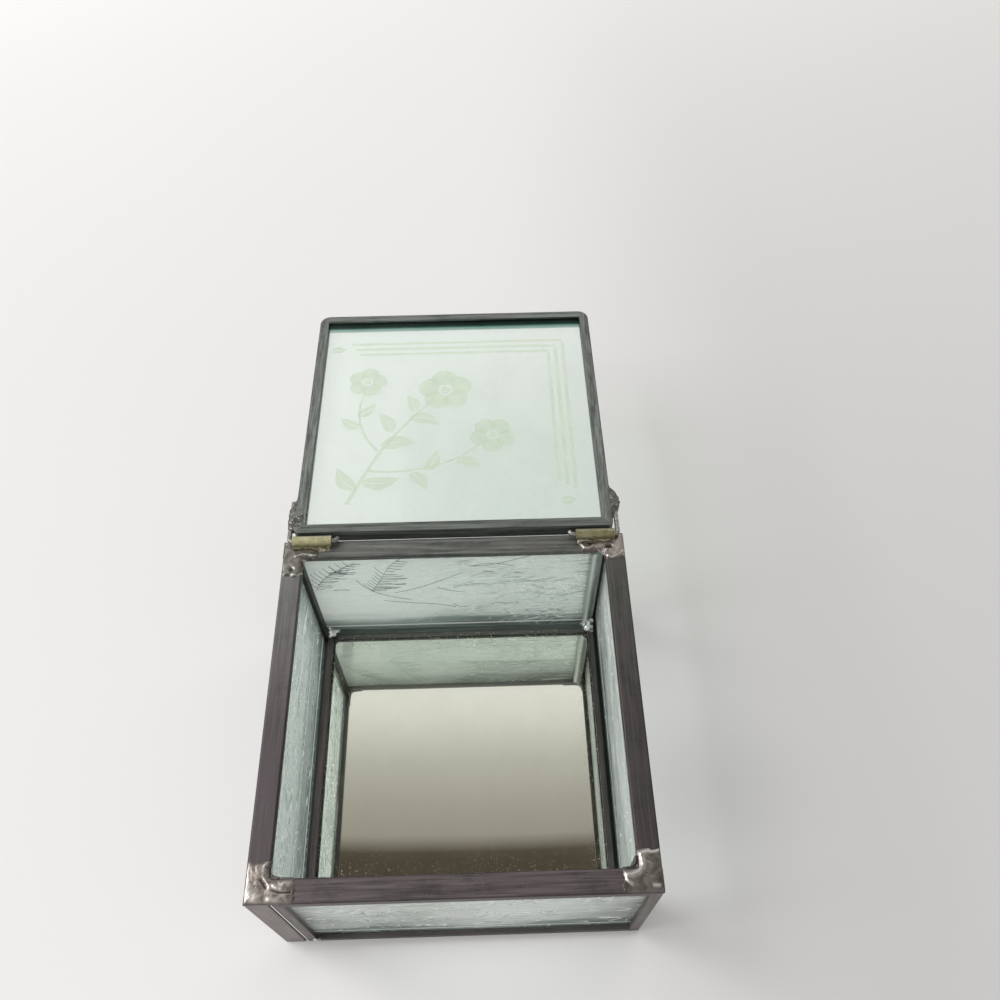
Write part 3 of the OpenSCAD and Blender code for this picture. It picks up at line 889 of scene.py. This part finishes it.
def floor_beads():
    """Solder beads in the inner floor corners, pulled out along both edges."""
    low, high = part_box("floor_solder")
    x, y, z = high.x / MM, high.y / MM, low.z / MM
    # Place in from the corner, radius and height of each ball of a bead
    bead = ((0.9, 0.9, 1.4, 1.7), (0.7, 0.7, 0.8, 3.0), (2.4, 0.7, 0.8, 0.9),
            (0.7, 2.4, 0.8, 0.95), (1.9, 1.8, 0.9, 1.0), (3.4, 0.6, 0.6, 0.6))
    balls = []
    for sx in (-1, 1):
        for sy in (-1, 1):
            big = 1.45 if sx > 0 and sy > 0 else 1.0
            for u, v, r, h in bead:
                balls.append(((sx * (x - u), sy * (y - v), z), (r * big, r * big, h * big)))

    def shape(p):
        """Lumpy, and kept inside the corner."""
        p = ripple(p, 1.2, 0.3, 3.3)
        p[:, 2] = np.maximum(p[:, 2], z - 0.3)
        p[:, 0] = np.clip(p[:, 0], -x, x)
        p[:, 1] = np.clip(p[:, 1], -y, y)
        return p

    o = lump("floor_solder", balls, 0.16, shape, 3)
    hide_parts("floor_solder")
    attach(o, "box")


floor_beads()


def foot_dots():
    """A dot of solder at the foot of each outer joint, with a smaller one up beside it."""
    low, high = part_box("foot_solder")
    out = high.x / MM
    z = (low.z + high.z) / 2 / MM
    joint = round(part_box("front_left_came")[1].x / MM, 2)
    deep, small_deep = 0.36, 0.3
    balls = []
    for k in range(4):
        c, s = round(math.cos(k * math.pi / 2)), round(math.sin(k * math.pi / 2))
        px, py = c * joint + s * HALF, s * joint - c * HALF
        dot = (1.2, deep, 1.15) if c else (deep, 1.2, 1.15)
        small = (0.75, small_deep, 0.7) if c else (small_deep, 0.75, 0.7)
        balls.append(((px, py, z), dot))
        balls.append(((px + 0.5 * c, py + 0.5 * s, z + 0.55), small))

    def shape(p):
        return np.clip(ripple(p, 0.9, 0.12, 6.1), -out, out)

    o = lump("foot_solder", balls, 0.1, shape, 2)
    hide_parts("foot_solder")
    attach(o, "box")


foot_dots()


# The etched design on the lid: x across and w outward, in mm

etch_points, etch_faces = [], []


def quad_strip(left, right):
    first = len(etch_points)
    for a, b in zip(left, right):
        etch_points.append(a)
        etch_points.append(b)
    for k in range(first, first + 2 * len(left) - 2, 2):
        etch_faces.append((k, k + 1, k + 3, k + 2))


def steps_along(points):
    """Each point's share of the way, the point, and the unit step along the line there."""
    for i, p in enumerate(points):
        a, b = points[max(i - 1, 0)], points[min(i + 1, len(points) - 1)]
        dx, dy = b[0] - a[0], b[1] - a[1]
        d = math.hypot(dx, dy) or 1
        yield i / (len(points) - 1), p, dx / d, dy / d


def ribbon(points, width):
    """A band along a line, of a width that is a number or changes from 0 to 1 along it."""
    left, right = [], []
    for t, p, dx, dy in steps_along(points):
        half = (width(t) if callable(width) else width) / 2
        left.append((p[0] - dy * half, p[1] + dx * half))
        right.append((p[0] + dy * half, p[1] - dx * half))
    quad_strip(left, right)


def turned(x, y, u, v, angle):
    """The point u along and v across from x, y, turned by an angle."""
    return (x + u * math.cos(angle) - v * math.sin(angle), y + u * math.sin(angle) + v * math.cos(angle))


def bezier(p0, p1, p2, p3, n=24):
    out = []
    for i in range(n + 1):
        t = i / n
        a, b, c, d = (1 - t) ** 3, 3 * t * (1 - t) ** 2, 3 * t * t * (1 - t), t ** 3
        out.append(tuple(a * p0[k] + b * p1[k] + c * p2[k] + d * p3[k] for k in (0, 1)))
    return out


def leaf(x, y, angle, length, width, bend=0.0):
    """A leaf in two halves with a clear vein between them."""
    n = 14
    for s in (-1, 1):
        inner, outer = [], []
        for i in range(n + 1):
            t = i / n
            along = length * t
            across = bend * length * math.sin(math.pi * t) * 0.5
            half = width / 2 * math.sin(math.pi * t ** 0.85) ** 0.9
            gap = 0.22 * (1 - t)
            inner.append(turned(x, y, along, across + s * gap, angle))
            outer.append(turned(x, y, along - 0.12 * half, across + s * max(half, gap), angle))
        quad_strip(inner, outer)


def blossom(x, y, r, turn, petals=5):
    """Open petals round a clear ring and a small disc."""
    n = 12
    for k in range(petals):
        angle = turn + 2 * math.pi * k / petals
        left, right = [], []
        for i in range(n + 1):
            t = i / n
            half = r * 0.47 * math.sin(math.pi * min(1.0, 0.12 + 0.80 * t)) ** 0.7
            if i == n:
                half *= 0.55
            out = r * (0.26 + 0.74 * t)
            left.append(turned(x, y, out, -half, angle))
            right.append(turned(x, y, out, half, angle))
        quad_strip(left, right)
    disc = [turned(x, y, r * 0.17, 0, 2 * math.pi * i / 20) for i in range(21)]
    quad_strip([(x, y)] * len(disc), disc)


def border():
    """Three parallel lines round the far right corner, and a leaf at either end."""
    far, right, near, left = 83.5, 38.0, 17.0, -36.0
    line, pitch, stagger, gap = 1.15, 2.6, 1.5, 1.2
    for k in range(3):
        o = pitch * k
        ribbon([(left + stagger * k, far - o), (right - o, far - o)], line)
        ribbon([(right - o, far - o - gap), (right - o, near + stagger * k)], line)
    leaf(-42.8, 80.9, 0.0, 5.2, 3.2)
    leaf(32.8, 12.6, 0.0, 5.2, 3.2)


def spray():
    """A stem with two branches, three blossoms and leaves."""
    def branch_width(t):
        return 1.0 - 0.3 * t

    ribbon(bezier((-33, 13), (-26, 30), (-22, 40), (-6, 57), 36), lambda t: 1.3 - 0.5 * t)
    ribbon(bezier((-27.5, 26), (-12, 24), (0, 28), (8, 36)), branch_width)
    ribbon(bezier((-24.5, 34), (-31, 42), (-33, 50), (-30, 60)), branch_width)
    blossom(-3, 60.5, 9.0, 0.4)
    blossom(12.5, 40.0, 7.4, 0.9)
    blossom(-29.5, 65.0, 6.6, 0.1)
    for x, y, angle, length, width, bend in (
            (-30.5, 18.5, 2.2, 11, 5.0, 0.2), (-29.0, 21.5, 0.1, 12, 5.2, -0.2),
            (-24.0, 35.5, 0.15, 12, 5.4, 0.25), (-20.5, 41.5, 2.0, 10, 4.6, -0.2),
            (-15.0, 48.2, -0.3, 11, 4.8, 0.25), (-13.0, 50.5, 1.9, 8.5, 4.0, -0.2),
            (-14.0, 25.0, -0.9, 9, 4.2, 0.2), (-9.0, 25.6, 1.15, 9, 4.2, -0.2),
            (0.5, 29.6, -0.35, 9, 4.0, 0.2), (-30.4, 44.5, 2.6, 8, 3.8, 0.2),
            (-32.0, 49.5, 0.75, 8, 3.8, -0.2)):
        leaf(x, y, angle, length, width, bend)


border()
spray()
# How far before the glass the design's w starts, and how far the frost stands off its face
ETCH_START = 3.3
ETCH_LIFT = 0.015
etched = [on_lid(x, w - ETCH_START, ETCH_LIFT) for x, w in etch_points]
etching = new_object("lid_etching", etched, etch_faces, FROST)
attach(etching, "lid")


# Fern strokes pressed into the back glass

stroke_points, stroke_faces = [], []
# The foot of the strokes stands just clear of the glass, on the side of the box's inside
STROKE_Y = round(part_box("back_glass")[0].y / MM, 2) - 0.03


def stroke(points, width):
    """A ridge along a line of x and z in mm, thin at both ends."""
    high = 0.16
    first = len(stroke_points)
    for t, p, dx, dz in steps_along(points):
        half = width * (0.25 + 0.75 * math.sin(math.pi * (0.12 + 0.85 * t))) / 2
        for s, rise in ((-1, 0.0), (0, high), (1, 0.0)):
            at = (p[0] - s * dz * half, STROKE_Y - rise, p[1] + s * dx * half)
            stroke_points.append([c * MM for c in at])
    for face in grid_faces(len(points) - 1, 2):
        stroke_faces.append([first + k for k in face])


def plume(rnd, spine, left, right):
    """A spine with short barbs on its left and long level ones on its right."""
    stroke(spine, 0.26)
    last = len(spine) - 1
    for i in range(1, last):
        x, z = spine[i]
        if left and i % 3 == 0:
            h = left * (0.75 + 0.4 * rnd.random())
            stroke(bezier((x, z), (x - 0.2 * h, z + 0.25 * h), (x - 0.5 * h, z + 0.8 * h),
                          (x - 0.62 * h, z + 1.25 * h), 8), 0.20)
        if right and i % 2 == 0:
            h = right * (0.7 + 0.4 * rnd.random()) * (0.6 + 0.8 * math.sin(math.pi * i / last))
            drop = rnd.uniform(-0.14, 0.12) * h
            wave = rnd.uniform(0.04, 0.16) * h
            stroke(bezier((x, z), (x + 0.3 * h, z + wave), (x + 0.65 * h, z + drop - wave),
                          (x + h, z + drop), 10), 0.19)


def fern_strokes():
    """Two plumes with their offshoots, a few strokes beside them and loose ones over the rest."""
    rnd = random.Random(5)
    stroke(bezier((-31.4, 37.4), (-29.8, 31.5), (-26.6, 26.6), (-15.0, 23.0), 26), 0.42)
    plume(rnd, bezier((-27.6, 28.8), (-25.8, 32.0), (-24.2, 35.0), (-21.9, 41.5), 26), 3.4, 6.2)
    plume(rnd, bezier((-22.2, 40.5), (-21.0, 43.6), (-19.5, 46.6), (-16.6, 49.2), 12), 0, 3.6)
    plume(rnd, bezier((-45.0, 30.2), (-42.6, 36.5), (-41.0, 40.0), (-34.6, 43.6), 24), 3.8, 4.6)
    plume(rnd, bezier((-38.6, 41.4), (-36.0, 43.4), (-33.6, 45.6), (-30.4, 47.4), 12), 3.0, 3.2)
    for z, end in ((41.9, -30.8), (41.0, -31.6), (30.6, -34.2)):
        stroke(bezier((-39.2, z), (-36.5, z + 0.5), (-34.0, z - 0.2), (end, z - 0.3), 12), 0.34)
    stroke(bezier((-20, 28), (-12, 30), (-4, 36), (2, 40), 16), 0.26)
    stroke(bezier((-24, 23), (-16, 20), (-8, 21), (-1, 17), 16), 0.26)
    for i in range(26):
        x, z = rnd.uniform(-8, 38), rnd.uniform(8, 45)
        slope = rnd.uniform(-0.5, 0.6)
        length = rnd.uniform(4, 13)
        bow = rnd.uniform(-2.5, 2.5)
        bows = (0, 0), (0.3, bow), (0.7, bow), (1, 0)
        points = [(x + length * t, z + length * t * slope + b) for t, b in bows]
        stroke(bezier(*points, 10), rnd.uniform(0.12, 0.20))
    o = new_object("back_glass_strokes", stroke_points, stroke_faces, RIDGE)
    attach(o, "box")


fern_strokes()


# Stage

def card():
    """Pale grey card with the photograph's soft falloff of light and the shadow beside the box."""
    m = Mat("floor_card")
    cloud = m.grain(0.004, 3.0, 0.5)
    tooth = m.grain(0.9, 3.0, 0.6)
    x, y = m.here()[:2]
    # Painted falloff of light: level = 0.808 + 0.52 x - 0.25 y + 0.88 y y - 1.01 x y, and darker on the
    # right
    right = m.times(x, 1 / 0.14, True)
    right = m.times(m.times(right, right), m.line(right, -2.0, 3.0))
    level = m.line(x, 0.52, 0.808)
    level = m.line(y, -0.25, level)
    level = m.line(m.times(y, y), 0.88, level)
    level = m.line(right, m.line(y, 0.52, -0.26), level)
    level = m.line(m.times(x, y), -1.01, level)
    level = m.math("MINIMUM", m.larger(level, 0.5), 0.9)
    # Painted shadow: a darker pool on the right of the box
    dx, dy = m.minus(x, 0.074), m.minus(y, -0.012)
    far = m.plus(m.times(dx, dx), m.times(dy, dy))
    pool = m.math("POWER", 2.718, m.times(far, -1150.0))
    level = m.times(level, m.line(pool, -0.20, 1.0))
    level = m.times(level, m.ramp(cloud, (0.3, 0.985), (0.7, 1.0)))
    tint = m.multiply(1.0, (1.008, 0.990, 0.996, 1), level)
    return m.finish(m.node("BsdfPrincipled", {"Base Color": tint, "Roughness": 0.6,
                                              "Normal": m.bump(tooth, 0.05, 0.0002)}))


def floor():
    n = 24
    size = 6.0
    verts = [((i / n - 0.5) * size, (j / n - 0.5) * size, 0.0) for i in range(n + 1) for j in range(n + 1)]
    o = new_object("floor_card", verts, grid_faces(n, n), card())


floor()


def key_lamp():
    """A soft lamp up on the left."""
    light = bpy.data.lights.new("key_left", "AREA")
    light.shape = "RECTANGLE"
    light.size = light.size_y = 0.7
    light.energy = 8.6
    o = bpy.data.objects.new("key_left", light)
    bpy.context.scene.collection.objects.link(o)
    o.location = (-0.80, 0.12, 0.85)
    aim = Vector((0.0, 0.05, 0.0))
    o.rotation_euler = (aim - o.location).to_track_quat("-Z", "Y").to_euler()


key_lamp()


def sky():
    """Plain bands of light, from in front of the box at 0 to behind it at 1, as the mirror shows them."""
    bands = (
        (0.0, (0.71, 0.71, 0.71)), (0.3, (0.69, 0.69, 0.68)), (0.46, (0.46, 0.45, 0.41)),
        (0.58, (0.30, 0.27, 0.23)), (0.602, (0.07, 0.056, 0.042)), (0.613, (0.08, 0.064, 0.048)),
        (0.621, (0.36, 0.335, 0.29)), (0.635, (0.42, 0.395, 0.35)), (0.6545, (0.53, 0.515, 0.465)),
        (0.678, (0.79, 0.78, 0.72)), (0.70, (0.92, 0.915, 0.87)), (0.74, (0.97, 0.97, 0.94)),
        (0.80, (0.88, 0.88, 0.86)), (1.0, (0.88, 0.89, 0.89)))
    w = Mat("sky", bpy.data.worlds)
    y = w.split(w.node("TexCoord"))[1]
    light = w.node("Background", {0: w.ramp(w.line(y, 0.5, 0.5), *bands)})
    bpy.context.scene.world = w.finish(light, "OutputWorld")


sky()


def camera():
    """The photograph's camera, solved from the box's own edges."""
    data = bpy.data.cameras.new("camera")
    data.lens = 33.52
    data.sensor_width = 36.0
    data.shift_x = -0.0008
    data.shift_y = -0.0031
    data.clip_start = 0.01
    data.clip_end = 20.0
    o = bpy.data.objects.new("camera", data)
    bpy.context.scene.collection.objects.link(o)
    turn = Matrix.Identity(4)
    for angle, axis in ((-1.23, "Z"), (33.92, "X"), (-0.48, "Z")):
        turn = turn @ Matrix.Rotation(math.radians(angle), 4, axis)
    o.matrix_world = Matrix.Translation((0.0110, -0.09566, 0.29240)) @ turn
    bpy.context.scene.camera = o


camera()
bpy.context.scene.view_settings.view_transform = "Standard"
